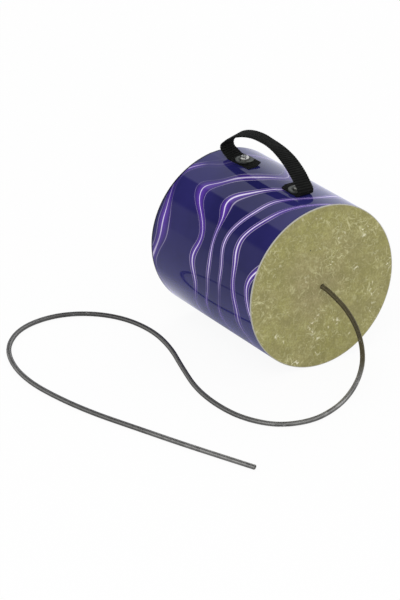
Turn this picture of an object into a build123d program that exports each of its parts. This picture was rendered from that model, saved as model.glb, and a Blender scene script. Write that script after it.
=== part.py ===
"""A thunder tube: a small open-backed drum with a long spring hanging from its head.

The drum lies on its side, as it does on a table. +Z is up, the drum's axis runs along Y, the
head faces -Y, and the origin is under the middle of the drum, on the table. Millimetres.
"""

import os
from math import cos, radians, sin, sqrt, tan

from build123d import *

os.makedirs("parts", exist_ok=True)

# Drum shell and head
tube_bore = 142.9
tube_wall = 4.4
tube_length = 156.6
tube_rim_chamfer = 0.4
wrap_thickness = 0.3
wrap_glue_gap = 0.05
head_thickness = 1.2
head_edge_chamfer = 0.25

# Spring, and what anchors it to the head
spring_diameter = 4.6
spring_wire = 0.75
spring_hole_clearance = 0.2
spring_root_reach = 1.7
spring_swing_gap = 0.3
spring_table_gap = 0.1
spring_bend_share = 0.45
anchor_disc_diameter = 24.0
anchor_disc_thickness = 3.0
anchor_screw_clearance = 0.05
anchor_screw_length = 5.2
anchor_head_diameter = 8.0
anchor_head_height = 2.2
anchor_head_rounding = 1.4

# Webbing strap
strap_width = 16.0
strap_thickness = 1.6
strap_seat_gap = 0.05
strap_foot_tail = 16.5
strap_foot_clip = 3.0
strap_front_fold_clearance = 0.1
strap_rear_fold_clearance = 2.0
strap_front_fold_radius = 3.5
strap_front_slope = 40.8
strap_rear_slope = 37.9
strap_shoulder_radius = 3.4
strap_rear_leg = 10.6
strap_rear_leg_slope = 31.8
strap_rear_fold_radius = 10.0
strap_swing_angle = 30.0
strap_swing_radius = 3.0
strap_swing_gap = 0.3
strap_foot_height = 2.6

# Handle fasteners
front_screw_distance = 39.3
rear_screw_distance = 36.3
screw_diameter = 4.0
screw_hole_clearance = 0.2
screw_head_diameter = 8.4
screw_head_height = 2.8
screw_head_rounding = 1.9
screw_tail = 1.5
recess_length = 4.6
recess_width = 1.1
recess_depth = 1.4
washer_diameter = 17.0
washer_thickness = 1.2
washer_chamfer = 0.25
inner_washer_diameter = 12.0
inner_washer_thickness = 1.0
inner_seat_gap = 0.1
nut_across_flats = 7.0
nut_thickness = 3.2
nut_thread_clearance = 0.02

# Sizes and places that follow
tube_bore_radius = tube_bore / 2
tube_outer_radius = tube_bore_radius + tube_wall
wrap_inner_radius = tube_outer_radius + wrap_glue_gap
drum_radius = wrap_inner_radius + wrap_thickness
drum_length = tube_length + head_thickness
axis_height = drum_radius
crown_height = axis_height + drum_radius
rear_y = drum_length / 2
head_front_y = -rear_y
tube_front_y = head_front_y + head_thickness
anchor_seat_y = tube_front_y + anchor_disc_thickness

spring_radius = spring_diameter / 2
spring_bore_radius = spring_radius - spring_wire
spring_hole_radius = spring_radius + spring_hole_clearance
spring_root_y = head_front_y - spring_root_reach
spring_pivot = (0, spring_root_y - spring_swing_gap - spring_radius, axis_height)

screw_radius = screw_diameter / 2
screw_hole_radius = screw_radius + screw_hole_clearance
front_screw_y = head_front_y + front_screw_distance
rear_screw_y = rear_y - rear_screw_distance
foot_bottom = crown_height + strap_seat_gap
foot_middle = foot_bottom + strap_thickness / 2
foot_top = foot_bottom + strap_thickness
front_fold_y = front_screw_y - washer_diameter / 2 - strap_front_fold_clearance
rear_fold_y = rear_screw_y + washer_diameter / 2 + strap_rear_fold_clearance
foot_limit = foot_middle + strap_foot_height
strap_pivot_height = foot_limit + strap_swing_gap + strap_swing_radius
washer_top = foot_top + washer_thickness
inner_washer_radius = inner_washer_diameter / 2
inner_washer_top = axis_height + sqrt(tube_bore_radius**2 - inner_washer_radius**2) - inner_seat_gap
nut_top = inner_washer_top - inner_washer_thickness
nut_bottom = nut_top - nut_thickness
screw_end = nut_bottom - screw_tail


def across(y):
    """The plane square to the drum's axis at y, centred on the axis and facing the open back."""
    return Plane(origin=(0, y, axis_height), x_dir=(1, 0, 0), z_dir=(0, 1, 0))


def ring(outer_radius, inner_radius):
    """Draws a flat ring in the sketch that is open."""
    Circle(outer_radius)
    Circle(inner_radius, mode=Mode.SUBTRACT)


def cut_screw_holes():
    """Cuts the two handle screw holes down through the top of the part that is open."""
    with BuildSketch(Plane.XY.offset(axis_height)) as holes:
        with Locations((0, front_screw_y), (0, rear_screw_y)):
            Circle(screw_hole_radius)
    extrude(holes.sketch, amount=strap_pivot_height, mode=Mode.SUBTRACT)


def finish(builder, name):
    """Names a finished piece and writes it."""
    builder.part.label = name
    export_step(builder.part, f"parts/{name}.step")


# Shell tube: stiff fibre, open at the back
with BuildPart() as shell_tube:
    with BuildSketch(across(tube_front_y)):
        ring(tube_outer_radius, tube_bore_radius)
    extrude(amount=tube_length)
    rear_rim = shell_tube.faces().sort_by(Axis.Y)[-1]
    chamfer(rear_rim.edges(), tube_rim_chamfer)
    cut_screw_holes()
finish(shell_tube, "shell_tube")

# Shell wrap: the printed film glued round the tube
with BuildPart() as shell_wrap:
    with BuildSketch(across(tube_front_y)):
        ring(drum_radius, wrap_inner_radius)
    extrude(amount=tube_length)
    cut_screw_holes()
finish(shell_wrap, "shell_wrap")

# Drum head: a fibrous disc over the front end, flush with the wrap
with BuildPart() as drum_head:
    with BuildSketch(across(head_front_y)):
        ring(drum_radius, spring_hole_radius)
    extrude(amount=head_thickness)
    head_face = drum_head.faces().sort_by(Axis.Y)[0]
    chamfer(head_face.outer_wire().edges(), head_edge_chamfer)
finish(drum_head, "drum_head")

# Anchor disc: spreads the spring's pull over the back of the head
with BuildPart() as spring_anchor_disc:
    with BuildSketch(across(tube_front_y)):
        ring(anchor_disc_diameter / 2, spring_hole_radius)
    extrude(amount=anchor_disc_thickness)
finish(spring_anchor_disc, "spring_anchor_disc")

# Anchor screw: driven into the spring's bore, with a head too wide for the disc's hole
with BuildPart() as spring_anchor_screw:
    with BuildSketch(across(anchor_seat_y)):
        Circle(anchor_head_diameter / 2)
    extrude(amount=anchor_head_height)
    dome_edge = spring_anchor_screw.faces().sort_by(Axis.Y)[-1].edges()
    fillet(dome_edge, anchor_head_rounding)
    with BuildSketch(across(anchor_seat_y)):
        Circle(spring_bore_radius - anchor_screw_clearance)
    extrude(amount=-anchor_screw_length)
    with BuildSketch(across(anchor_seat_y + anchor_head_height)):
        Rectangle(recess_length, recess_width)
        Rectangle(recess_width, recess_length)
    extrude(amount=-recess_depth, mode=Mode.SUBTRACT)
finish(spring_anchor_screw, "spring_anchor_screw")

# Spring root: the first coils, held in the head and the anchor disc
with BuildPart() as spring_root:
    with BuildSketch(across(spring_root_y)):
        ring(spring_radius, spring_bore_radius)
    extrude(amount=anchor_seat_y - spring_root_y)
finish(spring_root, "spring_root")

# Spring: droops from the head to the table, then lies there in one long S
table = spring_radius + spring_table_gap
spring_route = [
    spring_pivot,
    (0, -93, 74.5),
    (0, -115, 68.5),
    (0, -133, 55),
    (0, -141, 34),
    (-2, -139, 14),
    (-15, -143, table),
    (-41, -158, table),
    (-71, -166, table),
    (-100.5, -157, table),
    (-117.5, -131, table),
    (-123, -99, table),
    (-120.5, -61, table),
    (-108, -20, table),
    (-94, 21, table),
    (-89, 59, table),
    (-97, 96, table),
    (-119, 123, table),
    (-150, 135, table),
    (-186, 129, table),
    (-215, 103, table),
    (-230, 68, table),
    (-234.5, 30, table),
    (-229.5, -9, table),
    (-219.5, -50, table),
    (-203.5, -93, table),
    (-187, -138, table),
    (-170, -180, table),
    (-159, -207, table),
]
spring_points = [Vector(*point) for point in spring_route]
spring_runs = [end - start for start, end in zip(spring_points, spring_points[1:])]
spring_turns = [before.get_angle(after) for before, after in zip(spring_runs, spring_runs[1:])]
spring_radii = [
    spring_bend_share * min(before.length, after.length) / tan(radians(turn) / 2)
    for before, after, turn in zip(spring_runs, spring_runs[1:], spring_turns)
]
with BuildPart() as spring:
    with BuildLine() as spring_line:
        FilletPolyline(*spring_points, radius=spring_radii)
    with BuildSketch(Plane(origin=spring_pivot, x_dir=(1, 0, 0), z_dir=spring_runs[0])):
        ring(spring_radius, spring_bore_radius)
    sweep(path=spring_line.wires()[0])
    # A round end, so that the spring can turn in front of its root
    with Locations(Plane(origin=spring_pivot, x_dir=(1, 0, 0), z_dir=-spring_runs[0])):
        Sphere(spring_radius, arc_size1=0, align=(Align.CENTER, Align.CENTER, Align.NONE))
finish(spring, "spring")
spring_length = spring_line.wires()[0].length
print("spring length", round(spring_length, 1), "tightest bend", round(min(spring_radii), 1))
print("spring bends", [round(radius, 1) for radius in spring_radii])


def draw_strap():
    """Adds the whole length of webbing, both feet and the arch between them, to the open part."""
    front = radians(strap_front_slope)
    rear = radians(strap_rear_slope)
    leg = radians(strap_rear_leg_slope)
    # The arch's two long curves take up what the folds and the rear leg leave of the rise and span
    rise = (
        strap_shoulder_radius * (cos(leg) + cos(rear))
        + strap_rear_fold_radius * (1 - cos(leg))
        + strap_rear_leg * sin(leg)
        - strap_front_fold_radius * (1 + cos(front))
    )
    span = (
        rear_fold_y
        - front_fold_y
        + strap_front_fold_radius * sin(front)
        - strap_shoulder_radius * (sin(leg) - sin(rear))
        + strap_rear_fold_radius * sin(leg)
        + strap_rear_leg * cos(leg)
    )
    share = (1 - cos(front)) * sin(rear) + (1 - cos(rear)) * sin(front)
    front_curve_radius = (rise * sin(rear) + span * (1 - cos(rear))) / share
    rear_curve_radius = (span * (1 - cos(front)) - rise * sin(front)) / share
    with BuildSketch(Plane.YZ) as side_view:
        with BuildLine():
            front_foot = Line(
                (front_screw_y + strap_foot_tail, foot_middle), (front_fold_y, foot_middle)
            )
            front_fold = JernArc(
                front_foot @ 1, front_foot % 1, strap_front_fold_radius, strap_front_slope - 180
            )
            front_curve = JernArc(
                front_fold @ 1, front_fold % 1, front_curve_radius, -strap_front_slope
            )
            rear_curve = JernArc(
                front_curve @ 1, front_curve % 1, rear_curve_radius, -strap_rear_slope
            )
            shoulder_turn = 180 - strap_rear_slope - strap_rear_leg_slope
            shoulder = JernArc(
                rear_curve @ 1, rear_curve % 1, strap_shoulder_radius, -shoulder_turn
            )
            rear_leg = PolarLine(shoulder @ 1, strap_rear_leg, strap_rear_leg_slope - 180)
            rear_fold = JernArc(
                rear_leg @ 1, rear_leg % 1, strap_rear_fold_radius, -strap_rear_leg_slope
            )
            Line(rear_fold @ 1, (rear_screw_y - strap_foot_tail, foot_middle))
        trace(line_width=strap_thickness)
    extrude(side_view.sketch, amount=strap_width / 2, both=True)


# Strap arch: the loop that the hand holds, with blunt ends that clear the feet as it tips over
with BuildPart() as strap_arch:
    draw_strap()
    swing = radians(strap_swing_angle)
    side = strap_width
    side_height = strap_pivot_height + (side * sin(swing) - strap_swing_radius) / cos(swing)
    loop_top = strap_pivot_height + drum_length
    with BuildSketch(Plane.XZ):
        with BuildLine():
            tip = CenterArc(
                (0, strap_pivot_height), strap_swing_radius, 270 - strap_swing_angle, 2 * strap_swing_angle
            )
            Polyline(
                tip @ 1,
                (side, side_height),
                (side, loop_top),
                (-side, loop_top),
                (-side, side_height),
                tip @ 0,
            )
        make_face()
    extrude(amount=drum_length, both=True, mode=Mode.INTERSECT)
finish(strap_arch, "strap_arch")

# Strap feet: the two folded ends, flat on the shell under the washers
for name, toward_middle in (("strap_front_foot", 1), ("strap_rear_foot", -1)):
    with BuildPart() as foot:
        draw_strap()
        with BuildSketch(Plane.XY.offset(foot_limit)):
            with Locations((0, -toward_middle * drum_length / 2)):
                Rectangle(2 * strap_width, drum_length)
        extrude(amount=-2 * strap_foot_height - strap_thickness, mode=Mode.INTERSECT)
        cut_screw_holes()
        tail_edges = foot.edges().filter_by(Axis.Z).sort_by(Axis.Y)
        chamfer(tail_edges[-2:] if toward_middle > 0 else tail_edges[:2], strap_foot_clip)
    finish(foot, name)

# Fasteners: one set at each end of the strap
for end, screw_y in (("front", front_screw_y), ("rear", rear_screw_y)):
    with BuildPart() as screw:
        with BuildSketch(Plane.XY.offset(washer_top)):
            with Locations((0, screw_y)):
                Circle(screw_head_diameter / 2)
        extrude(amount=screw_head_height)
        fillet(screw.faces().sort_by(Axis.Z)[-1].edges(), screw_head_rounding)
        with BuildSketch(Plane.XY.offset(washer_top)):
            with Locations((0, screw_y)):
                Circle(screw_radius)
        extrude(amount=screw_end - washer_top)
        with BuildSketch(Plane.XY.offset(washer_top + screw_head_height)):
            with Locations((0, screw_y)):
                Rectangle(recess_length, recess_width)
                Rectangle(recess_width, recess_length)
        extrude(amount=-recess_depth, mode=Mode.SUBTRACT)
    finish(screw, f"handle_screw_{end}")

    with BuildPart() as washer:
        with BuildSketch(Plane.XY.offset(foot_top)):
            with Locations((0, screw_y)):
                ring(washer_diameter / 2, screw_hole_radius)
        extrude(amount=washer_thickness)
        chamfer(washer.faces().sort_by(Axis.Z)[-1].outer_wire().edges(), washer_chamfer)
    finish(washer, f"handle_washer_{end}")

    with BuildPart() as inner_washer:
        with BuildSketch(Plane.XY.offset(inner_washer_top)):
            with Locations((0, screw_y)):
                ring(inner_washer_radius, screw_hole_radius)
        extrude(amount=-inner_washer_thickness)
    finish(inner_washer, f"inner_washer_{end}")

    with BuildPart() as nut:
        with BuildSketch(Plane.XY.offset(nut_top)):
            with Locations((0, screw_y)):
                RegularPolygon(nut_across_flats / 2, 6, major_radius=False)
                Circle(screw_radius + nut_thread_clearance, mode=Mode.SUBTRACT)
        extrude(amount=-nut_thickness)
    finish(nut, f"handle_nut_{end}")
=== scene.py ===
"""Thunder tube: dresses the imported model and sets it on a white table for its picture.

The drum lies on its side. +Z is up, the drum's axis runs along Y, and its head faces -Y. Metres.
"""

import logging
import math
from collections.abc import Callable
from dataclasses import dataclass
from enum import Enum
from typing import Any

import bpy
import numpy as np
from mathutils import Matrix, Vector


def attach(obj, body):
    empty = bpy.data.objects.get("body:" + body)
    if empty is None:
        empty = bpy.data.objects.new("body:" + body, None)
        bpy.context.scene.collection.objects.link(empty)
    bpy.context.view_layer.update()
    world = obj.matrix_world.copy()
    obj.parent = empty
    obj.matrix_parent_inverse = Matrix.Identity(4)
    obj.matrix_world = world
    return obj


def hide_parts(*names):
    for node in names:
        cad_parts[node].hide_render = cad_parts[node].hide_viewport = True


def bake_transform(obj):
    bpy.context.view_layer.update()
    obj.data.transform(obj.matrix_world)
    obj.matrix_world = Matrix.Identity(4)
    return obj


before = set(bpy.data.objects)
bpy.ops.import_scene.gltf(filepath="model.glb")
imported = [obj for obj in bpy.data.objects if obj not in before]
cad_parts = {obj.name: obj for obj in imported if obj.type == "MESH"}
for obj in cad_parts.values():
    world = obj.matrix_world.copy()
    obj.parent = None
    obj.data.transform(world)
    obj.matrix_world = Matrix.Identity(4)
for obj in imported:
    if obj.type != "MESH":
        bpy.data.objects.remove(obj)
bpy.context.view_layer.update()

log = logging.getLogger("thunder_tube")

Colour = tuple[float, float, float]
Point = tuple[float, float, float]
Span = tuple[float, float]
Sockets = dict[str, Any]
Piece = bpy.types.Object

MM = 0.001
WHITE: Colour = (1.0, 1.0, 1.0)

# Sizes that several pieces share

AXIS_HEIGHT = 0.0762
HEAD_Y = -0.0789
REAR_Y = 0.0789
SCREW_Y = {"front": -0.0396, "rear": 0.0426}
RIB_PITCH = 0.0024


class Body(Enum):
    """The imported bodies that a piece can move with."""

    DRUM = "drum"
    HANDLE = "handle"
    SPRING = "spring"


class Slot(Enum):
    """The record's material slots."""

    WRAP = "printed_wrap"
    SPRING = "spring_steel"
    STRAP = "strap_webbing"


class Run(Enum):
    """How a line follows its points."""

    SMOOTH = "NURBS"
    STRAIGHT = "POLY"


class Pick(Enum):
    """What is selected on a mesh."""

    EDGES = "EDGE"
    POINTS = "VERT"


# Shader tools


@dataclass
class Value:
    """A shader socket that Python's operators work on."""

    graph: "Graph"
    socket: bpy.types.NodeSocket | None

    def __add__(self, other: Any) -> "Value":
        """Sum."""
        return self.graph.maths("ADD", self, other)

    def __radd__(self, other: Any) -> "Value":
        """Sum, other way round."""
        return self.graph.maths("ADD", other, self)

    def __sub__(self, other: Any) -> "Value":
        """Difference."""
        return self.graph.maths("SUBTRACT", self, other)

    def __rsub__(self, other: Any) -> "Value":
        """Difference, other way round."""
        return self.graph.maths("SUBTRACT", other, self)

    def __mul__(self, other: Any) -> "Value":
        """Product."""
        return self.graph.maths("MULTIPLY", self, other)

    def __rmul__(self, other: Any) -> "Value":
        """Product, other way round."""
        return self.graph.maths("MULTIPLY", other, self)

    def __truediv__(self, other: Any) -> "Value":
        """Quotient."""
        return self.graph.maths("DIVIDE", self, other)

    def __rtruediv__(self, other: Any) -> "Value":
        """Quotient, other way round."""
        return self.graph.maths("DIVIDE", other, self)

    def __pow__(self, other: Any) -> "Value":
        """Power."""
        return self.graph.maths("POWER", self, other)

    def __abs__(self) -> "Value":
        """Size without sign."""
        return self.graph.maths("ABSOLUTE", self)

    def step(self, low: float, high: float) -> "Value":
        """Rises smoothly from 0 at low to 1 at high, or falls where low is above high.

        Args:
            low: where the result is 0.
            high: where the result is 1.

        Returns:
            The result as a value.
        """
        ends = (low, high, 0.0, 1.0) if low < high else (high, low, 1.0, 0.0)
        names = ("From Min", "From Max", "To Min", "To Max")
        sockets: Sockets = {"Value": self, **dict(zip(names, ends))}
        return self.graph.node("MapRange", {"interpolation_type": "SMOOTHSTEP"}, sockets)


class Graph:
    """The nodes of one material or world."""

    def __init__(self, tree: bpy.types.NodeTree) -> None:
        """Empties the tree and keeps it."""
        tree.nodes.clear()
        self.tree = tree

    def node(
        self,
        kind: str,
        settings: dict[str, Any] | None = None,
        sockets: Sockets | None = None,
        output: str = "",
    ) -> Value:
        """Adds a node.

        Args:
            kind: the node's type, without its ShaderNode prefix.
            settings: properties of the node, set first.
            sockets: values or links, by the name or identifier of the input.
            output: the name or identifier of the output to return, or the first one that shows.

        Returns:
            That output.
        """
        made = self.tree.nodes.new(f"ShaderNode{kind}")
        for name, value in (settings or {}).items():
            setattr(made, name, value)
        for name, value in (sockets or {}).items():
            self.plug(self.find(made.inputs, name), value)
        return Value(self, self.find(made.outputs, output))

    @staticmethod
    def find(sockets: Any, name: str) -> bpy.types.NodeSocket | None:
        """Finds an enabled socket.

        Args:
            sockets: a node's inputs or outputs.
            name: its name or identifier, or nothing for the first one.

        Returns:
            The socket, or None where no name is given and none shows.
        """
        shown = [socket for socket in sockets if socket.enabled]
        if not name:
            return shown[0] if shown else None
        return next(socket for socket in shown if name in (socket.name, socket.identifier))

    def plug(self, socket: bpy.types.NodeSocket, value: Any) -> None:
        """Links a value to a socket, or sets a plain number or colour on it.

        Args:
            socket: the input.
            value: what it gets.
        """
        if isinstance(value, Value):
            self.tree.links.new(value.socket, socket)
        elif isinstance(value, tuple) and socket.type == "RGBA":
            socket.default_value = (*value, 1.0)
        else:
            socket.default_value = value

    def maths(self, operation: str, *terms: Any) -> Value:
        """The result of a Math node, from its operation and its terms in order."""
        names = ("Value", "Value_001", "Value_002")
        return self.node("Math", {"operation": operation}, dict(zip(names, terms)))

    def mix(self, share: Any, below: Any, above: Any) -> Value:
        """Two colours mixed, where share says how much of the one above shows."""
        sockets = {"Factor_Float": share, "A_Color": below, "B_Color": above}
        return self.node("Mix", {"data_type": "RGBA"}, sockets, "Result_Color")

    def place(self) -> Value:
        """The place on the piece, in metres."""
        return self.node("TexCoord", output="Object")

    def parts(self, vector: Value) -> list[Value]:
        """The x, y and z of a vector."""
        split = self.node("SeparateXYZ", sockets={"Vector": vector}).socket.node
        return [Value(self, socket) for socket in split.outputs]

    def moved(self, vector: Value, shift: Point = (0, 0, 0), stretch: Point = (1, 1, 1)) -> Value:
        """A vector stretched part by part and then shifted."""
        return self.node("Mapping", sockets={"Vector": vector, "Location": shift, "Scale": stretch})

    def turned(self, vector: Value, angle: float) -> Value:
        """A vector turned about Y, by degrees."""
        sockets = {"Vector": vector, "Angle": math.radians(angle)}
        return self.node("VectorRotate", {"rotation_type": "Y_AXIS"}, sockets)

    def noise(self, place: Value, scale: float, detail: float = 2.0, rough: float = 0.5) -> Value:
        """Cloudy noise from 0 to 1, with scale clouds in a metre and finer layers by detail and rough."""
        sockets = {"Vector": place, "Scale": scale, "Detail": detail, "Roughness": rough}
        return self.node("TexNoise", sockets=sockets, output="Fac")

    def warped(self, place: Value, scale: float, reach: float) -> Value:
        """A place drawn out of shape by noise.

        Args:
            place: where it is read.
            scale: how many swirls there are in a metre.
            reach: how far a point is drawn, in metres.

        Returns:
            The new place.
        """
        sockets = {"Vector": place, "Scale": scale, "Detail": 0.0}
        swirl = self.node("TexNoise", sockets=sockets, output="Color")
        settings = {"operation": "MULTIPLY_ADD"}
        sockets = {"Vector": swirl, "Vector_001": (2 * reach,) * 3, "Vector_002": place}
        return self.node("VectorMath", settings, sockets)

    def bump(self, height: Value, depth: float) -> Value:
        """A normal raised by a height from 0 to 1, which stands out by depth, in metres."""
        return self.node("Bump", sockets={"Height": height, "Distance": depth})


# Finishes


@dataclass(frozen=True)
class Finish:
    """A material that is made once and shared by the pieces that wear it."""

    name: str

    def sockets(self, graph: Graph) -> Sockets:
        """What the finish feeds to the main shader.

        Args:
            graph: the material's nodes.

        Returns:
            Values and links by the shader's socket names.
        """
        raise NotImplementedError

    def material(self) -> bpy.types.Material:
        """The finish as a material, made when it is first asked for.

        Returns:
            The material.
        """
        found = bpy.data.materials.get(self.name)
        if found is not None:
            return found
        made = bpy.data.materials.new(self.name)
        made.use_nodes = True
        graph = Graph(made.node_tree)
        shader = graph.node("BsdfPrincipled", sockets=self.sockets(graph))
        graph.node("OutputMaterial", sockets={"Surface": shader})
        return made

    def dress(self, piece: Piece) -> None:
        """Puts the finish on a piece.

        Args:
            piece: the piece that wears it.
        """
        if not piece.material_slots:
            piece.data.materials.append(None)
        for slot in piece.material_slots:
            slot.material = self.material()


@dataclass(frozen=True)
class PrintedFilm(Finish):
    """Glossy laminated film, printed indigo with pale ribbons that flow round the drum."""

    deep: Colour = (0.014, 0.013, 0.080)
    soft: Colour = (0.022, 0.019, 0.116)
    glow: Colour = (0.120, 0.045, 0.390)
    ribbon: Colour = (0.860, 0.780, 0.980)
    edge: Colour = (0.004, 0.004, 0.012)
    sheen: Colour = (0.100, 0.140, 1.000)
    rear_y: float = REAR_Y
    edge_width: float = 0.0016
    ribbon_spacing: float = 0.040
    thread_offset: float = 0.14
    ripple_depth: float = 0.00012

    def ribbons(self, graph: Graph, place: Value) -> tuple[Value, Value]:
        """Waving ribbons side by side, each with a thin thread on either side of it.

        Args:
            graph: the material's nodes.
            place: where the pattern is read.

        Returns:
            The ribbons and the glow round them, each from 0 to 1.
        """
        y = graph.parts(place)[1]
        drift = graph.noise(graph.moved(place, (7.3, 1.9, 0.2)), 9.0, 0.0)
        ripple = graph.noise(graph.moved(place, (1.3, 4.4, 2.8)), 24.0, 0.0)
        phase = y / self.ribbon_spacing + drift * 4.4 + ripple * 1.2 + 10.0
        away = abs(graph.maths("FRACT", phase) - 0.5)
        swell = graph.noise(graph.moved(place, (2.7, 6.1, 3.3)), 20.0, 0.0)
        swell = swell.step(0.30, 0.70) * 0.034 + 0.014
        core = (1.0 - away / swell).step(0.0, 0.8)
        thread = (1.0 - abs(away - self.thread_offset) / (swell * 0.45)).step(0.0, 0.9) * 0.45
        return graph.maths("MAXIMUM", core, thread), away.step(0.26, 0.0) ** 2.0

    def sockets(self, graph: Graph) -> Sockets:
        """Ribbons that fade in and out on a cloudy ground, under a clear gloss with a blue sheen.

        Args:
            graph: the material's nodes.

        Returns:
            What the main shader takes.
        """
        place = graph.place()
        y = graph.parts(place)[1]
        cloud = graph.noise(graph.moved(place, (3.1, 0.4, 1.7)), 16.0, 3.0)
        ground = graph.mix(cloud.step(0.35, 0.7), self.deep, self.soft)
        shown = graph.noise(graph.moved(place, (0.6, 2.2, 5.0)), 13.0, 1.0).step(0.36, 0.56)
        ribbon, halo = self.ribbons(graph, place)
        glow = halo * (shown * 0.85 + 0.1)
        ground = graph.mix(glow, ground, self.glow)
        colour = graph.mix(ribbon * (shown * 0.94 + 0.06), ground, self.ribbon)
        # The film is dark in a thin band along its rear edge.
        rear_band = y.step(self.rear_y - self.edge_width * 1.2, self.rear_y - self.edge_width)
        ripple = graph.noise(graph.moved(place, stretch=(1.0, 0.6, 1.0)), 38.0, 1.0)
        return {
            "Base Color": graph.mix(rear_band, colour, self.edge),
            "Roughness": 0.020,
            "IOR": 1.5,
            "Sheen Weight": 0.25,
            "Sheen Roughness": 0.4,
            "Sheen Tint": self.sheen,
            "Normal": graph.bump(ripple, self.ripple_depth),
        }


@dataclass(frozen=True)
class FibreHead(Finish):
    """Matte olive sheet of pressed fibres, with a pale cut edge."""

    ground: Colour = (0.452, 0.412, 0.180)
    shade: Colour = (0.232, 0.211, 0.080)
    green: Colour = (0.405, 0.392, 0.113)
    warm: Colour = (0.465, 0.380, 0.225)
    fibre: Colour = (0.620, 0.590, 0.330)
    fleck: Colour = (0.900, 0.870, 0.640)
    speck: Colour = (0.050, 0.044, 0.026)
    edge: Colour = (0.450, 0.435, 0.380)
    axis_height: float = AXIS_HEIGHT
    edge_radius: float = 0.0757
    edge_blend: float = 0.0004
    speck_scale: float = 75.0
    relief_depth: float = 0.00012
    fibre_draw: float = 0.32
    fibre_turns: tuple[float, ...] = (8.0, 43.0, 80.0, 117.0, 154.0)

    def fibres(
        self, graph: Graph, place: Value, scale: float, width: float, shift: Point, turn: float
    ) -> Value:
        """A layer of short fibres that lie more or less one way.

        Args:
            graph: the material's nodes.
            place: where the pattern is read.
            scale: how many fibres there are in a metre, roughly.
            width: how thick a fibre is, as a share of the pattern's rise.
            shift: sets one layer apart from another.
            turn: which way the fibres lie, in degrees from upright.

        Returns:
            The layer, from 0 to 1.
        """
        bent = graph.warped(place, scale * 0.5, 0.25 / scale)
        at = graph.moved(graph.turned(bent, turn), shift, (1.0, 1.0, self.fibre_draw))
        away = abs(graph.noise(at, scale, 1.0) - 0.5)
        patch = graph.noise(graph.moved(place, shift), scale * 1.5, 1.0).step(0.47, 0.66)
        return away.step(width, 0.0) * patch

    def sockets(self, graph: Graph) -> Sockets:
        """Mottled ground, layers of fibres, pale flecks and a few dark specks.

        Args:
            graph: the material's nodes.

        Returns:
            What the main shader takes.
        """
        place = graph.place()
        x, _, z = graph.parts(place)
        z = z - self.axis_height
        radius = (x * x + z * z) ** 0.5
        blotch = graph.noise(place, 30.0, 3.0, 0.6).step(0.32, 0.68)
        patchy = graph.noise(graph.moved(place, (6.0, 2.0, 4.0)), 110.0, 3.0, 0.65).step(0.30, 0.70)
        grain = graph.noise(place, 480.0, 3.0, 0.7).step(0.25, 0.75)
        colour = graph.mix(blotch * 0.7, self.ground, self.green)
        colour = graph.mix(radius.step(0.058, 0.008) * (1.0 - blotch * 0.6) * 0.7, colour, self.warm)
        broad = graph.noise(graph.moved(place, (1.0, 5.0, 8.0)), 14.0, 2.0).step(0.30, 0.70)
        colour = graph.mix(broad * 0.34, colour, self.shade)
        colour = graph.mix(patchy * 0.55, colour, self.shade)
        colour = graph.mix(grain * 0.70, colour, self.shade)
        fibre = self.fibres(graph, place, 330.0, 0.070, (2.0, 7.0, 3.0), 25.0) * 0.6
        for i, turn in enumerate(self.fibre_turns):
            layer = self.fibres(graph, place, 105.0 + 14.0 * i, 0.026, (5.0 + 3.0 * i, 1.0, 2.0), turn)
            fibre = graph.maths("MAXIMUM", fibre, layer)
        gathered = graph.noise(graph.moved(place, (3.0, 6.0, 1.0)), 36.0, 2.0).step(0.42, 0.66)
        fibre = fibre * (gathered * 0.55 + 0.30)
        colour = graph.mix(fibre, colour, self.fibre)
        clump = graph.noise(graph.moved(place, (4.0, 2.0, 9.0)), 62.0, 2.0).step(0.55, 0.70)
        fleck = self.fibres(graph, place, 190.0, 0.050, (8.0, 3.0, 1.0), 35.0)
        crossing = self.fibres(graph, place, 210.0, 0.050, (1.0, 4.0, 6.0), -50.0)
        fleck = graph.maths("MAXIMUM", fleck, crossing) * clump
        colour = graph.mix(fleck, colour, self.fleck)
        cells = {"Vector": place, "Scale": self.speck_scale}
        spots = graph.node("TexVoronoi", sockets=cells, output="Distance")
        chance = graph.node("TexVoronoi", sockets=cells, output="Color")
        speck = spots.step(0.060, 0.035) * graph.parts(chance)[0].step(0.90, 0.92)
        colour = graph.mix(speck, colour, self.speck)
        rim = radius.step(self.edge_radius - self.edge_blend, self.edge_radius)
        return {
            "Base Color": graph.mix(rim, colour, self.edge),
            "Roughness": 0.62 - fibre * 0.12,
            "Specular IOR Level": 0.35,
            "Normal": graph.bump(fibre + fleck + grain * 0.4, self.relief_depth),
        }


@dataclass(frozen=True)
class Steel(Finish):
    """Plain steel: plated, matte or darkened by its colour and roughness; a darker copy on the front
    screw is painted shade.
    """

    colour: Colour
    tarnish: Colour
    roughness: float
    grain: float
    mark_depth: float = 0.00001

    def sockets(self, graph: Graph) -> Sockets:
        """Fine cloudy tarnish and handling marks.

        Args:
            graph: the material's nodes.

        Returns:
            What the main shader takes.
        """
        place = graph.place()
        cloud = graph.noise(place, self.grain, 4.0, 0.6)
        marks = graph.noise(graph.moved(place, stretch=(1.0, 0.2, 1.0)), self.grain * 6.0, 2.0)
        return {
            "Base Color": graph.mix(cloud.step(0.38, 0.68), self.colour, self.tarnish),
            "Metallic": 1.0,
            "Roughness": cloud * 0.14 + (self.roughness - 0.07),
            "Normal": graph.bump(marks, self.mark_depth),
        }


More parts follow.
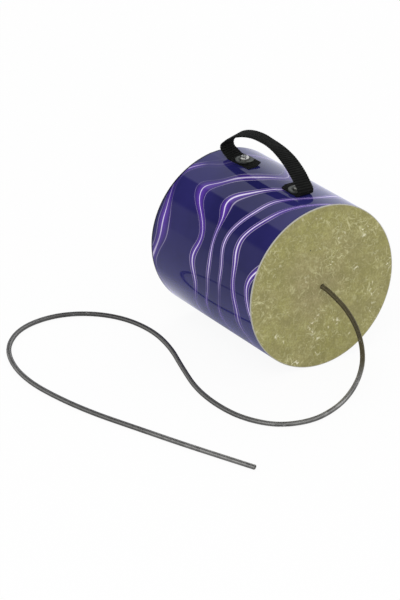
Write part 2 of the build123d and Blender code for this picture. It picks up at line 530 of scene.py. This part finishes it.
@dataclass(frozen=True)
class SpringWire(Steel):
    """Spring steel, darker where it lies beside the drum (painted shade), plain in front of it, and dark
    brown where it hangs before the head (painted reflection of the head and painted shade).
    """

    head_reflection: Colour = (0.190, 0.168, 0.105)
    drum_shade: Colour = (0.215, 0.213, 0.210)
    head_reflection_height: Span = (0.010, 0.034)
    drum_shade_y: Span = (-0.160, -0.060)
    beside_y: Span = (-0.158, -0.130)
    beside_x: Span = (-0.160, -0.130)

    def sockets(self, graph: Graph) -> Sockets:
        """Plain steel, with the painted shade beside the drum and the painted reflection of the head laid
        over its colour.

        Args:
            graph: the material's nodes.

        Returns:
            What the main shader takes.
        """
        fed = super().sockets(graph)
        x, y, height = graph.parts(graph.place())
        # Darker beside the drum: painted shade.
        beside = y.step(*self.beside_y) * x.step(*self.beside_x) * 0.4
        painted_shade = graph.maths("MINIMUM", y.step(*self.drum_shade_y) * 0.75 + beside, 1.0)
        steel = graph.mix(painted_shade, fed["Base Color"], self.drum_shade)
        # Dark brown where it hangs before the head: painted reflection of the olive head and painted
        # shade.
        fed["Base Color"] = graph.mix(height.step(*self.head_reflection_height), steel, self.head_reflection)
        return fed


@dataclass(frozen=True)
class WasherSteel(Steel):
    """Dull steel, with a dark ring of painted shade round a screw's head."""

    screw_y: float = 0.0
    screw_shade: Colour = (0.020, 0.021, 0.018)
    screw_shade_radius: float = 0.0052
    screw_shade_blend: float = 0.0008

    def sockets(self, graph: Graph) -> Sockets:
        """Plain steel, with the ring of painted shade laid over its colour.

        Args:
            graph: the material's nodes.

        Returns:
            What the main shader takes.
        """
        fed = super().sockets(graph)
        x, y, _ = graph.parts(graph.place())
        y = y - self.screw_y
        # A dark ring of painted shade round the screw's head.
        ring = ((x * x + y * y) ** 0.5).step(self.screw_shade_radius + self.screw_shade_blend, self.screw_shade_radius)
        fed["Base Color"] = graph.mix(ring * 0.8, fed["Base Color"], self.screw_shade)
        return fed


@dataclass(frozen=True)
class Webbing(Finish):
    """Black ribbed webbing: fine warp yarns over the ribs, a little dusty on the crowns, and darker in
    the grooves (painted shade).
    """

    yarn: Colour = (0.0062, 0.0070, 0.0064)
    worn: Colour = (0.0190, 0.0208, 0.0185)
    groove_shade: Colour = (0.0020, 0.0022, 0.0020)
    yarn_pitch: float = 0.0006
    yarn_depth: float = 0.00010
    rib_pitch: float = RIB_PITCH

    def sockets(self, graph: Graph) -> Sockets:
        """Yarns read from the flat strap's own map, fuzz from the place.

        Args:
            graph: the material's nodes.

        Returns:
            What the main shader takes.
        """
        place = graph.place()
        flat = graph.node("UVMap", {"uv_map": "Flat"})
        along, across, _ = graph.parts(flat)
        # Darker in the grooves between the ribs: painted shade.
        crown = graph.maths("COSINE", along * (2 * math.pi / self.rib_pitch)) * 0.5 + 0.5
        yarns = graph.maths("SINE", across * (2 * math.pi / self.yarn_pitch)) * 0.5 + 0.5
        fuzz = graph.noise(place, 2600.0, 3.0, 0.7)
        dust = graph.noise(place, 130.0, 3.0, 0.6).step(0.40, 0.80)
        top = graph.mix(dust * (0.35 + fuzz * 0.65), self.yarn, self.worn)
        return {
            "Base Color": graph.mix(crown, self.groove_shade, top),
            "Roughness": 0.80 + fuzz * 0.15,
            "Specular IOR Level": 0.25,
            "Normal": graph.bump(yarns * 0.7 + fuzz * 0.3, self.yarn_depth),
        }


@dataclass(frozen=True)
class FibreBoard(Finish):
    """Brown paper board, wound in a spiral."""

    ground: Colour = (0.340, 0.235, 0.140)
    pale: Colour = (0.440, 0.325, 0.210)
    seam: Colour = (0.190, 0.125, 0.070)
    axis_height: float = AXIS_HEIGHT
    lead: float = 0.090
    relief_depth: float = 0.00012

    def sockets(self, graph: Graph) -> Sockets:
        """Spiral seams on soft, blotchy fibres.

        Args:
            graph: the material's nodes.

        Returns:
            What the main shader takes.
        """
        place = graph.place()
        x, y, z = graph.parts(place)
        turn = graph.maths("ARCTAN2", x, z - self.axis_height) / (2 * math.pi)
        along = graph.maths("FRACT", y / self.lead + turn + 10.0)
        seam = abs(along - 0.5).step(0.006, 0.002)
        fibre = graph.noise(graph.moved(place, stretch=(1.0, 0.25, 1.0)), 360.0, 4.0, 0.65)
        blotch = graph.noise(place, 22.0, 3.0)
        colour = graph.mix(fibre.step(0.3, 0.7) * 0.6 + blotch * 0.4, self.ground, self.pale)
        return {
            "Base Color": graph.mix(seam * 0.8, colour, self.seam),
            "Roughness": 0.82 + fibre * 0.1,
            "Specular IOR Level": 0.3,
            "Normal": graph.bump(fibre - seam * 0.8, self.relief_depth),
        }


PRINT = PrintedFilm("printed_film")
HEAD = FibreHead("fibre_head")
BOARD = FibreBoard("fibre_board")
WEBBING = Webbing("black_webbing")
SPRING_STEEL = SpringWire("wound_wire_steel", (0.465, 0.462, 0.455), (0.320, 0.317, 0.312), 0.17, 140.0)
BRIGHT_STEEL = Steel("bright_steel", (0.700, 0.705, 0.695), (0.540, 0.540, 0.520), 0.30, 500.0)
# The front screw's steel is darker than the rear one's: painted shade from the strap above it.
SHADED_SCREW_STEEL = Steel("shaded_screw_steel", (0.300, 0.305, 0.292), (0.200, 0.203, 0.192), 0.34, 500.0)
DULL_LOOK = ((0.145, 0.155, 0.140), (0.095, 0.102, 0.092), 0.40, 380.0)
DULL_STEEL = Steel("dull_steel", *DULL_LOOK)
SCREW_STEEL = {"front": SHADED_SCREW_STEEL, "rear": BRIGHT_STEEL}
WASHER_STEEL = {
    end: WasherSteel(f"{end}_washer_steel", *DULL_LOOK, screw_y=y) for end, y in SCREW_Y.items()
}


# Modelling tools


def let_go() -> None:
    """Leaves edit mode with nothing selected."""
    if bpy.context.object is not None and bpy.context.object.mode != "OBJECT":
        bpy.ops.object.mode_set(mode="OBJECT")
    bpy.ops.object.select_all(action="DESELECT")


def take(piece: Piece) -> None:
    """Makes a piece the only selected one.

    Args:
        piece: the piece to select.
    """
    let_go()
    piece.select_set(True)
    bpy.context.view_layer.objects.active = piece


def settle(piece: Piece) -> None:
    """Applies a piece's place, turn, scale and modifiers to its mesh.

    Args:
        piece: the piece to finish.
    """
    take(piece)
    bpy.ops.object.transform_apply(location=True, rotation=True, scale=True)
    for name in [modifier.name for modifier in piece.modifiers]:
        bpy.ops.object.modifier_apply(modifier=name)


def pick(piece: Piece, kind: Pick, wanted: Callable[..., bool]) -> None:
    """Opens a piece in edit mode with some of its edges or points selected.

    Args:
        piece: the piece to edit.
        kind: edges or points.
        wanted: a test on the places of an edge's two ends, or on a point's place.
    """
    take(piece)
    bpy.ops.object.mode_set(mode="EDIT")
    bpy.ops.mesh.select_mode(type=kind.value)
    bpy.ops.mesh.select_all(action="DESELECT")
    bpy.ops.object.mode_set(mode="OBJECT")
    points = piece.data.vertices
    if kind is Pick.EDGES:
        for edge in piece.data.edges:
            edge.select = wanted(*(points[i].co for i in edge.vertices))
    else:
        for point in points:
            point.select = wanted(point.co)
    bpy.ops.object.mode_set(mode="EDIT")


def curve_through(name: str, points: np.ndarray, run: Run) -> Piece:
    """Draws one open spline.

    Args:
        name: the curve's name.
        points: its points, in metres.
        run: a smooth line that the points steer, or straight runs between them.

    Returns:
        The curve.
    """
    data = bpy.data.curves.new(name, "CURVE")
    data.dimensions = "3D"
    spline = data.splines.new(run.value)
    spline.points.add(len(points) - 1)
    spline.points.foreach_set("co", np.c_[points, np.ones(len(points))].ravel())
    if run is Run.SMOOTH:
        spline.order_u = 3
        spline.use_endpoint_u = True
    curve = bpy.data.objects.new(name, data)
    bpy.context.scene.collection.objects.link(curve)
    return curve


def distances(line: np.ndarray) -> np.ndarray:
    """How far along a line each of its points is."""
    return np.r_[0.0, np.cumsum(np.linalg.norm(np.diff(line, axis=0), axis=1))]


def points_of(mesh: bpy.types.Mesh) -> np.ndarray:
    """Reads the places of a mesh's points.

    Args:
        mesh: any mesh.

    Returns:
        One row for each point.
    """
    points = np.zeros(len(mesh.vertices) * 3)
    mesh.vertices.foreach_get("co", points)
    return points.reshape(-1, 3)


def discard(piece: Piece) -> None:
    """Removes a helper object."""
    bpy.data.objects.remove(piece, do_unlink=True)


# Studio


@dataclass
class Studio:
    """Camera, table, world and lamps."""

    azimuth: float = math.radians(-33.60)
    elevation: float = math.radians(25.13)
    distance: float = 2.557
    lens: float = 171.48
    shift_right: float = -0.06329
    shift_up: float = -0.03961
    aim_height: float = AXIS_HEIGHT
    reach: float = 50.0
    table_size: float = 30.0
    table_drop: float = 0.00002
    table_paint: Colour = (0.90, 0.90, 0.90)
    table_white: float = 0.85
    table_shown: float = 0.93
    table_mirrored: float = 0.34
    table_lit_x: Span = (-0.100, -0.045)
    table_lit_y: Span = (0.035, 0.110)
    fill: float = 0.70
    wall_left: Colour = (0.31, 0.31, 0.31)
    wall_right: Colour = (0.57, 0.58, 0.60)
    wall_window: Colour = (0.90, 0.92, 0.95)
    wall_front: Colour = (1.00, 1.00, 0.99)
    ceiling: Colour = (0.14, 0.14, 0.14)
    gap: Colour = (0.06, 0.06, 0.07)
    rear_left: Span = (-50.0, -44.0)
    rear_right: Span = (66.0, 60.0)
    gap_left: Span = (-36.0, -33.5)
    gap_right: Span = (-13.0, -16.0)
    gap_foot: Span = (16.0, 19.0)
    corner: Span = (-16.0, -13.0)
    window_left: Span = (32.0, 42.0)
    ceiling_foot: Span = (41.0, 62.0)
    lamp_aim: Point = (0.0, 0.0, 0.08)

    def camera(self) -> None:
        """Sets the camera at the photograph's viewing angle."""
        a, e = self.azimuth, self.elevation
        back = Vector((math.sin(a) * math.cos(e), -math.cos(a) * math.cos(e), math.sin(e)))
        right = Vector((math.cos(a), math.sin(a), 0.0))
        up = back.cross(right)
        aim = right * self.shift_right + up * self.shift_up + Vector((0.0, 0.0, self.aim_height))
        let_go()
        bpy.ops.object.camera_add(location=aim + back * self.distance)
        camera = bpy.context.object
        camera.rotation_mode = "QUATERNION"
        camera.rotation_quaternion = (-back).to_track_quat("-Z", "Y")
        camera.data.lens = self.lens
        camera.data.clip_end = self.reach
        bpy.context.scene.camera = camera

    @staticmethod
    def seen(graph: Graph) -> Value:
        """1 for rays from the camera, a mirror or clear stuff, 0 for the light that falls on things.

        Args:
            graph: the nodes that need it.

        Returns:
            The value.
        """
        names = ("Is Camera Ray", "Is Glossy Ray", "Is Transmission Ray")
        camera, glossy, clear = (graph.node("LightPath", output=name) for name in names)
        return graph.maths("MAXIMUM", graph.maths("MAXIMUM", camera, glossy), clear)

    def table(self) -> None:
        """Lays the white table, which keeps a faint shadow and mirrors grey, with a painted pool of light
        behind the drum.
        """
        let_go()
        bpy.ops.mesh.primitive_plane_add(size=self.table_size, location=(0.0, 0.0, -self.table_drop))
        table = bpy.context.object
        table.name = "table"
        settle(table)
        paint = bpy.data.materials.new("white_table")
        paint.use_nodes = True
        graph = Graph(paint.node_tree)
        matte = graph.node("BsdfDiffuse", sockets={"Color": self.table_paint})
        mirrored = graph.node("LightPath", output="Is Glossy Ray")
        x, y, _ = graph.parts(graph.place())
        # Mirrors see a painted pool of light on the table behind the drum.
        behind = y.step(*self.table_lit_y) * x.step(*self.table_lit_x)
        strength = 1.0 - mirrored * (1.0 - self.table_mirrored) * (1.0 - behind)
        white = graph.node("Emission", sockets={"Color": WHITE, "Strength": strength})
        shown = graph.node("LightPath", output="Is Camera Ray") * self.table_shown
        share = graph.maths("MAXIMUM", self.seen(graph) * self.table_white, shown)
        both = graph.node("MixShader", sockets={"Fac": share, "Shader": matte, "Shader_001": white})
        graph.node("OutputMaterial", sockets={"Surface": both})
        table.data.materials.append(paint)

    def world(self) -> None:
        """Sets white surroundings, and the grey walls, window and dark gap that glossy things mirror."""
        world = bpy.data.worlds.new("studio")
        world.use_nodes = True
        bpy.context.scene.world = world
        graph = Graph(world.node_tree)
        x, y, z = graph.parts(graph.node("TexCoord", output="Generated"))
        bearing = graph.maths("ARCTAN2", x, y) * (180.0 / math.pi)
        height = graph.maths("ARCSINE", z) * (180.0 / math.pi)
        gap = bearing.step(*self.gap_left) * bearing.step(*self.gap_right) * height.step(*self.gap_foot)
        rear = graph.mix(bearing.step(*self.corner), self.wall_left, self.wall_right)
        rear = graph.mix(bearing.step(*self.window_left), rear, self.wall_window)
        behind = bearing.step(*self.rear_left) * bearing.step(*self.rear_right)
        room = graph.mix(behind, self.wall_front, graph.mix(gap, rear, self.gap))
        room = graph.mix(height.step(*self.ceiling_foot), room, self.ceiling)
        mirrored = graph.node("LightPath", output="Is Glossy Ray")
        tone = graph.mix(mirrored, WHITE, room)
        backdrop = graph.node("Background", sockets={"Color": tone, "Strength": 1.0})
        light = graph.node("Background", sockets={"Color": WHITE, "Strength": self.fill})
        sockets = {"Fac": self.seen(graph), "Shader": light, "Shader_001": backdrop}
        both = graph.node("MixShader", sockets=sockets)
        graph.node("OutputWorld", sockets={"Surface": both})

    def lamp(self, name: str, place: Point, size: float, power: float) -> None:
        """Hangs one soft box.

        Args:
            name: the lamp's name.
            place: where it hangs.
            size: the side of its square.
            power: its power in watts.
        """
        let_go()
        bpy.ops.object.light_add(type="AREA", location=place)
        lamp = bpy.context.object
        lamp.name = name
        lamp.data.size = size
        lamp.data.energy = power
        lamp.rotation_mode = "QUATERNION"
        facing = Vector(self.lamp_aim) - Vector(place)
        lamp.rotation_quaternion = facing.to_track_quat("-Z", "Y")
        lamp.visible_glossy = False

    def build(self) -> None:
        """Sets up everything round the object."""
        self.camera()
        self.table()
        self.world()
        self.lamp("key_box", place=(-1.3, -1.5, 2.0), size=1.6, power=26.0)
        self.lamp("rear_box", place=(1.2, 1.4, 1.8), size=1.4, power=10.0)


# Spring

TABLE_LINE = 2.4
SPRING_ROUTE_MM: tuple[Point, ...] = (
    (0, -83.2, 76.2),
    (0, -93, 74.5),
    (0, -115, 68.5),
    (0, -133, 55),
    (0, -141, 34),
    (-2, -139, 14),
    (-15, -143, TABLE_LINE),
    (-41, -158, TABLE_LINE),
    (-71, -166, TABLE_LINE),
    (-100.5, -157, TABLE_LINE),
    (-117.5, -131, TABLE_LINE),
    (-123, -99, TABLE_LINE),
    (-120.5, -61, TABLE_LINE),
    (-108, -20, TABLE_LINE),
    (-94, 21, TABLE_LINE),
    (-89, 59, TABLE_LINE),
    (-97, 96, TABLE_LINE),
    (-119, 123, TABLE_LINE),
    (-150, 135, TABLE_LINE),
    (-186, 129, TABLE_LINE),
    (-215, 103, TABLE_LINE),
    (-230, 68, TABLE_LINE),
    (-234.5, 30, TABLE_LINE),
    (-229.5, -9, TABLE_LINE),
    (-219.5, -50, TABLE_LINE),
    (-203.5, -93, TABLE_LINE),
    (-187, -138, TABLE_LINE),
    (-170, -180, TABLE_LINE),
    (-159, -207, TABLE_LINE),
)


@dataclass
class Spring:
    """The close-wound spring, from its anchor behind the head to its cut end on the table."""

    coil_radius: float = 0.0023
    wire_radius: float = 0.000375
    turn_gap: float = 0.000006
    points_per_turn: int = 10
    route_steps: int = 40
    axis_height: float = AXIS_HEIGHT
    root_y: float = -0.0752
    head_y: float = HEAD_Y
    bend_out: float = 0.0024
    bend_down: float = 0.0080
    length: float = 0.936

    def centreline(self) -> np.ndarray:
        """The smooth line that the route's points steer.

        Returns:
            Points along it, in metres.
        """
        root = [(0.0, self.root_y / MM, self.axis_height / MM)]
        curve = curve_through("spring_route", np.array([*root, *SPRING_ROUTE_MM]) * MM, Run.SMOOTH)
        curve.data.resolution_u = self.route_steps
        bpy.context.view_layer.update()
        line = bpy.data.meshes.new_from_object(curve)
        points = points_of(line)
        bpy.data.meshes.remove(line)
        discard(curve)
        return points

    def wire(self, line: np.ndarray) -> np.ndarray:
        """The wire's own line, wound round the centreline with its turns touching.

        Args:
            line: points along the centreline.

        Returns:
            Points along the wire.
        """
        winding = self.coil_radius - self.wire_radius
        gone = distances(line)
        ahead = np.gradient(line, gone, axis=0)
        ahead /= np.linalg.norm(ahead, axis=1)[:, None]
        bend = np.linalg.norm(np.gradient(ahead, gone, axis=0), axis=1)
        # Where the spring bends, its turns touch on the inside and open on the outside
        rate = 2 * math.pi * (1 - winding * bend) / (2 * self.wire_radius + self.turn_gap)
        angle = np.r_[0.0, np.cumsum((rate[1:] + rate[:-1]) / 2 * np.diff(gone))]
        side = np.zeros_like(line)
        side[0] = (1.0, 0.0, 0.0)
        for i in range(1, len(line)):
            carried = side[i - 1] - ahead[i] * (side[i - 1] @ ahead[i])
            side[i] = carried / np.linalg.norm(carried)
        turns = np.linspace(0.0, angle[-1], int(angle[-1] / (2 * math.pi) * self.points_per_turn))
        place = np.interp(turns, angle, gone)

        def at(values: np.ndarray) -> np.ndarray:
            """Values along the centreline, read where the wire's points are."""
            return np.stack([np.interp(place, gone, values[:, i]) for i in range(3)], axis=1)

        centre, forward, across = at(line), at(ahead), at(side)
        over = np.cross(forward, across)
        return centre + winding * (across * np.cos(turns)[:, None] + over * np.sin(turns)[:, None])

    def build(self) -> Piece:
        """Returns:
            The spring.
        """
        line = self.centreline()
        spring = curve_through("coiled_spring", self.wire(line), Run.STRAIGHT)
        spring.data.bevel_depth = self.wire_radius
        spring.data.bevel_resolution = 1
        spring.data.use_fill_caps = True
        take(spring)
        bpy.ops.object.convert(target="MESH")
        spring = bpy.context.object
        bpy.ops.object.shade_smooth()
        SPRING_STEEL.dress(spring)
        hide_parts("spring", "spring_root")
        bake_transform(spring)
        return spring


# Strap

# How the soft loop leans: distance along it and its shift in X, Y and Z, in mm, then its roll in degrees
STRAP_LEAN: tuple[tuple[float, float, float, float, float], ...] = (
    (0, 0, 0, 0, 0),
    (34, 0, 0, 0, 0),
    (47, 0.5, 0.7, 1.3, -3),
    (62, 1.0, 1.5, 1.7, 0),
    (77, 1.3, 1.9, 1.2, 6),
    (90, 0.9, 1.3, 0.6, 9),
    (99, 0.0, 0.0, 0.5, 7),
    (109, -0.9, -1.3, 1.1, 3),
    (120, -1.8, -2.7, 1.4, -2),
    (135, -2.7, -4.0, 2.0, -9),
    (150, -3.0, -4.4, 2.2, -12),
    (160, -2.9, -3.6, 0.3, -10),
    (168, -2.6, -1.8, -2.0, -8),
    (178, -0.9, -0.6, -0.8, -3),
    (186, -0.4, 0, 0, 0),
    (195, 0, 0, 0, 0),
    (212, 0.8, 0, 0, 0),
)


@dataclass
class Strap:
    """The webbing handle: one strap, folded in under itself at both ends."""

    width: float = 0.0160
    thickness: float = 0.0016
    rib_pitch: float = RIB_PITCH
    rib_round: float = 0.00060
    edge_round: float = 0.00040
    foot_height: float = 0.15325
    front_tail_y: float = -0.0231
    front_fold_y: float = -0.0482
    rear_fold_y: float = 0.0531
    rear_tail_y: float = 0.0261
    front_fold_radius: float = 0.0035
    front_slope: float = math.radians(40.8)
    rear_slope: float = math.radians(37.9)
    shoulder_radius: float = 0.0034
    rear_leg: float = 0.0106
    rear_leg_slope: float = math.radians(31.8)
    rear_fold_radius: float = 0.0100
    front_clip: float = 0.0035
    front_clip_facing: Point = (-0.85, -0.5, 0.0)
    rear_clip: float = 0.0030
    rear_clip_facing: Point = (0.9, 0.4, 0.0)
    merge_reach: float = 0.00002
    smooth_angle: float = math.radians(50.0)
    sample: float = 0.0004
    lean_blend: float = 0.007
    blend_low: float = 0.1545
    blend_high: float = 0.1660

    def curve_radii(self) -> tuple[float, float]:
        """The radii of the arch's two long curves, which close the loop between the folds.

        Returns:
            The front and the rear radius.
        """
        front, rear, leg = self.front_slope, self.rear_slope, self.rear_leg_slope
        rise = self.shoulder_radius * (math.cos(leg) + math.cos(rear))
        rise += self.rear_fold_radius * (1 - math.cos(leg)) + self.rear_leg * math.sin(leg)
        rise -= self.front_fold_radius * (1 + math.cos(front))
        span = self.rear_fold_y - self.front_fold_y + self.front_fold_radius * math.sin(front)
        span -= self.shoulder_radius * (math.sin(leg) - math.sin(rear))
        span += self.rear_fold_radius * math.sin(leg) + self.rear_leg * math.cos(leg)
        share = (1 - math.cos(front)) * math.sin(rear) + (1 - math.cos(rear)) * math.sin(front)
        front_radius = (rise * math.sin(rear) + span * (1 - math.cos(rear))) / share
        rear_radius = (span * (1 - math.cos(front)) - rise * math.sin(front)) / share
        return front_radius, rear_radius

    def line(self) -> np.ndarray:
        """The strap's middle line, from the front tail over the arch to the rear tail.

        Returns:
            Points along it, in metres.
        """
        front_radius, rear_radius = self.curve_radii()
        shoulder = math.pi - self.rear_slope - self.rear_leg_slope
        runs = (
            (self.front_tail_y - self.front_fold_y, 0.0),
            (self.front_fold_radius * (math.pi - self.front_slope), math.pi - self.front_slope),
            (front_radius * self.front_slope, self.front_slope),
            (rear_radius * self.rear_slope, self.rear_slope),
            (self.shoulder_radius * shoulder, shoulder),
            (self.rear_leg, 0.0),
            (self.rear_fold_radius * self.rear_leg_slope, self.rear_leg_slope),
            (self.rear_fold_y - self.rear_tail_y, 0.0),
        )
        points = [(0.0, self.front_tail_y, self.foot_height)]
        heading = math.pi
        for length, turn in runs:
            steps = max(2, round(length / self.sample))
            for _ in range(steps):
                middle = heading - turn / steps / 2
                reach = length / steps
                _, y, z = points[-1]
                points.append((0.0, y + reach * math.cos(middle), z + reach * math.sin(middle)))
                heading -= turn / steps
        return np.array(points)

    def lean(self, line: np.ndarray) -> tuple[np.ndarray, np.ndarray]:
        """Lets the loop lean and roll as a soft strap does.

        Args:
            line: the upright strap's middle line.

        Returns:
            The leaning line, and the roll at each of its points.
        """
        gone = distances(line)
        rows = np.array(STRAP_LEAN, float)
        window = np.ones(2 * round(self.lean_blend / self.sample / 2) + 1)
        window /= window.sum()
        smooth = []
        for column in rows.T[1:]:
            values = np.pad(np.interp(gone / MM, rows[:, 0], column), len(window), mode="edge")
            values = np.convolve(np.convolve(values, window, "same"), window, "same")
            smooth.append(values[len(window) : -len(window)])
        return line + np.stack(smooth[:3], axis=1) * MM, np.radians(smooth[3])

    def rib(self) -> Piece:
        """One cross rib of the flat strap, rounded where it meets its neighbours.

        Returns:
            The rib, open at both ends.
        """
        let_go()
        bpy.ops.mesh.primitive_cube_add(size=1.0)
        rib = bpy.context.object
        rib.scale = (self.rib_pitch, self.width, self.thickness)
        settle(rib)
        tiny = self.rib_pitch / 100
        pick(rib, Pick.EDGES, lambda a, b: abs(a.x - b.x) > tiny)
        bpy.ops.mesh.bevel(offset=self.edge_round, segments=2, affect="EDGES")
        end = self.rib_pitch / 2 - tiny
        pick(rib, Pick.EDGES, lambda a, b: abs(a.x - b.x) < tiny and abs(a.x) > end)
        bpy.ops.mesh.bevel(offset=self.rib_round, segments=3, affect="EDGES")
        pick(rib, Pick.POINTS, lambda p: abs(p.x) > end)
        bpy.ops.mesh.delete(type="ONLY_FACE")
        let_go()
        return rib

    def flat(self, length: float) -> Piece:
        """The strap before it is folded, lying along X.

        Args:
            length: its length.

        Returns:
            The flat strap.
        """
        strap = self.rib()
        ribs = strap.modifiers.new("ribs", "ARRAY")
        ribs.fit_type = "FIXED_COUNT"
        ribs.count = math.ceil(length / self.rib_pitch) + 1
        ribs.use_relative_offset = False
        ribs.use_constant_offset = True
        ribs.constant_offset_displace = (self.rib_pitch, 0.0, 0.0)
        ribs.use_merge_vertices = True
        ribs.merge_threshold = self.merge_reach
        settle(strap)
        cuts = (
            ((0.0, 0.0, 0.0), (-1.0, 0.0, 0.0)),
            ((length, 0.0, 0.0), (1.0, 0.0, 0.0)),
            ((self.front_clip, -self.width / 2, 0.0), self.front_clip_facing),
            ((length - self.rear_clip, self.width / 2, 0.0), self.rear_clip_facing),
        )
        for place, facing in cuts:
            pick(strap, Pick.POINTS, lambda p: True)
            bpy.ops.mesh.bisect(plane_co=place, plane_no=facing, use_fill=True, clear_outer=True)
        bpy.ops.mesh.select_all(action="SELECT")
        bpy.ops.mesh.normals_make_consistent(inside=False)
        let_go()
        return strap

    @staticmethod
    def map_flat(strap: Piece) -> None:
        """Keeps each point's place on the flat strap, for the yarns.

        Args:
            strap: the strap, still flat.
        """
        layer = strap.data.uv_layers.new(name="Flat")
        corners = np.zeros(len(strap.data.loops), np.int32)
        strap.data.loops.foreach_get("vertex_index", corners)
        layer.data.foreach_set("uv", points_of(strap.data)[corners, :2].ravel())

    def build(self) -> Piece:
        """Folds the flat strap into the handle.

        Returns:
            The strap.
        """
        line, roll = self.lean(self.line())
        length = float(distances(line)[-1])
        strap = self.flat(length)
        strap.name = "webbing_strap"
        self.map_flat(strap)
        path = curve_through("strap_route", line, Run.STRAIGHT)
        path.data.splines[0].points.foreach_set("tilt", roll)
        fold = strap.modifiers.new("fold", "CURVE")
        fold.object = path
        fold.deform_axis = "POS_X"
        settle(strap)
        discard(path)
        take(strap)
        bpy.ops.object.shade_smooth_by_angle(angle=self.smooth_angle)
        WEBBING.dress(strap)
        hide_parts("strap_arch", "strap_front_foot", "strap_rear_foot")
        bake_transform(strap)
        return strap


# Drum


@dataclass
class Drum:
    """The shell with its printed film, and the solids that keep their shape."""

    radius: float = AXIS_HEIGHT
    film: float = 0.0003
    front_y: float = -0.0777
    rear_y: float = REAR_Y
    segments: int = 288
    seam_angle: float = math.radians(7.5)
    flap_angle: float = math.radians(22.5)
    flap_rise: float = 0.00022
    seam_step: float = 0.00012
    row_reach: float = 0.00002
    hole_radius: float = 0.0022
    hole_sides: int = 32
    hole_depth: float = 0.01
    smooth_angle: float = math.radians(20.0)

    def angle(self, point: Vector) -> float:
        """How far round the drum a point is from the crown, towards -X."""
        return math.atan2(-point.x, point.z - self.radius)

    def film_sheet(self) -> Piece:
        """The film as a thin skin with its lapped seam.

        Returns:
            The skin, without thickness.
        """
        let_go()
        middle = (self.front_y + self.rear_y) / 2
        bpy.ops.mesh.primitive_cylinder_add(
            vertices=self.segments,
            radius=self.radius,
            depth=self.rear_y - self.front_y,
            end_fill_type="NOTHING",
            location=(0.0, middle, self.radius),
            rotation=(math.pi / 2, 0.0, 0.0),
        )
        film = bpy.context.object
        film.name = "printed_film"
        settle(film)
        near = math.pi / self.segments
        seam = self.seam_angle
        pick(film, Pick.EDGES, lambda *ends: all(abs(self.angle(p) - seam) < near / 2 for p in ends))
        bpy.ops.mesh.bevel(offset=self.seam_step, segments=1, affect="EDGES")
        rows = sorted({round(self.angle(p.co), 5) for p in film.data.vertices})
        raised = [row for row in rows if seam < row < self.flap_angle]
        axis = (0.0, 0.0, self.radius)
        for row in raised:
            share = (self.flap_angle - row) / (self.flap_angle - seam)
            grow = 1 + self.flap_rise * share**2 / self.radius
            pick(film, Pick.POINTS, lambda p, row=row: abs(self.angle(p) - row) < self.row_reach)
            bpy.ops.transform.resize(value=(grow, 1.0, grow), center_override=axis)
        let_go()
        return film

    def screw_holes(self, film: Piece) -> None:
        """Cuts the two screw holes through the film.

        Args:
            film: the film, with its thickness.
        """
        for y in SCREW_Y.values():
            let_go()
            bpy.ops.mesh.primitive_cylinder_add(
                vertices=self.hole_sides,
                radius=self.hole_radius,
                depth=self.hole_depth,
                location=(0.0, y, 2 * self.radius),
            )
            drill = bpy.context.object
            cut = film.modifiers.new("hole", "BOOLEAN")
            cut.operation = "DIFFERENCE"
            cut.object = drill
            settle(film)
            discard(drill)

    def build(self) -> Piece:
        """Wraps the film and dresses the drum's own solids.

        Returns:
            The film.
        """
        film = self.film_sheet()
        wall = film.modifiers.new("wall", "SOLIDIFY")
        wall.thickness = self.film
        wall.offset = -1.0
        settle(film)
        self.screw_holes(film)
        take(film)
        bpy.ops.object.shade_smooth_by_angle(angle=self.smooth_angle)
        PRINT.dress(film)
        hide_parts("shell_wrap")
        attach(film, Body.DRUM.value)
        HEAD.dress(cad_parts["drum_head"])
        BOARD.dress(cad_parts["shell_tube"])
        return film


@dataclass
class Fasteners:
    """The screws, nuts and washers of the handle, and the spring's anchor."""

    ends: tuple[str, ...] = tuple(SCREW_Y)

    def build(self) -> None:
        """Dresses the fasteners' own solids."""
        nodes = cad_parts
        for end in self.ends:
            SCREW_STEEL[end].dress(nodes[f"handle_screw_{end}"])
            WASHER_STEEL[end].dress(nodes[f"handle_washer_{end}"])
            for name in ("inner_washer", "handle_nut"):
                DULL_STEEL.dress(nodes[f"{name}_{end}"])
        BRIGHT_STEEL.dress(nodes["spring_anchor_screw"])
        BOARD.dress(nodes["spring_anchor_disc"])


def main() -> None:
    """Builds the scene piece by piece."""
    logging.basicConfig(level=logging.INFO, format="%(name)s: %(message)s")
    bpy.context.scene.view_settings.view_transform = "Standard"
    Studio().build()
    for piece in (Spring().build(), Strap().build(), Drum().build()):
        log.info("%s has %d faces", piece.name, len(piece.data.polygons))
    Fasteners().build()


if __name__ == "__main__":
    main()
